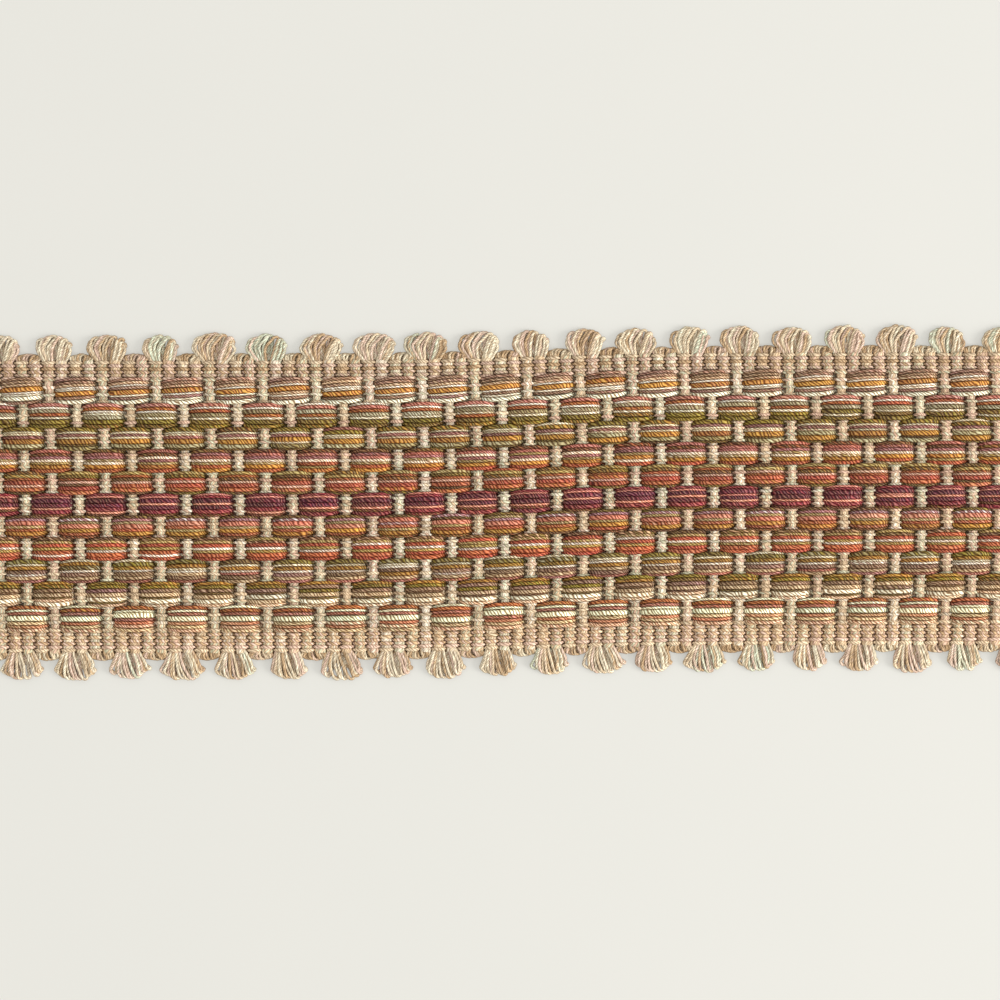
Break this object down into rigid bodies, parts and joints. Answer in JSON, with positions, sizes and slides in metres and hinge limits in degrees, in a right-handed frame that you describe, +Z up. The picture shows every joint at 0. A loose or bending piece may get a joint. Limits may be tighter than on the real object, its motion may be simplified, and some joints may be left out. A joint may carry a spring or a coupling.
{
  "type": "braid trim",
  "caption": "Flat woven braid trim lying flat: brickwork rows of striped warp floats over cream ribs, with looped picot edges.",
  "frame": {"origin": "middle of the braid's length and width, on its flat underside", "axes": "+X along the braid's length, +Y across it towards the upper picots, +Z up out of its face"},
  "size_m": [0.201, 0.0634, 0.0022],
  "materials": {
    "woven_band": "matte yarn",
    "upper_picot_edge": "matte yarn",
    "lower_picot_edge": "matte yarn"
  },
  "bodies": {
    "root": {"woven_band": "woven_band", "upper_picot_edge": "upper_picot_edge", "lower_picot_edge": "lower_picot_edge"}
  },
  "joints": []
}
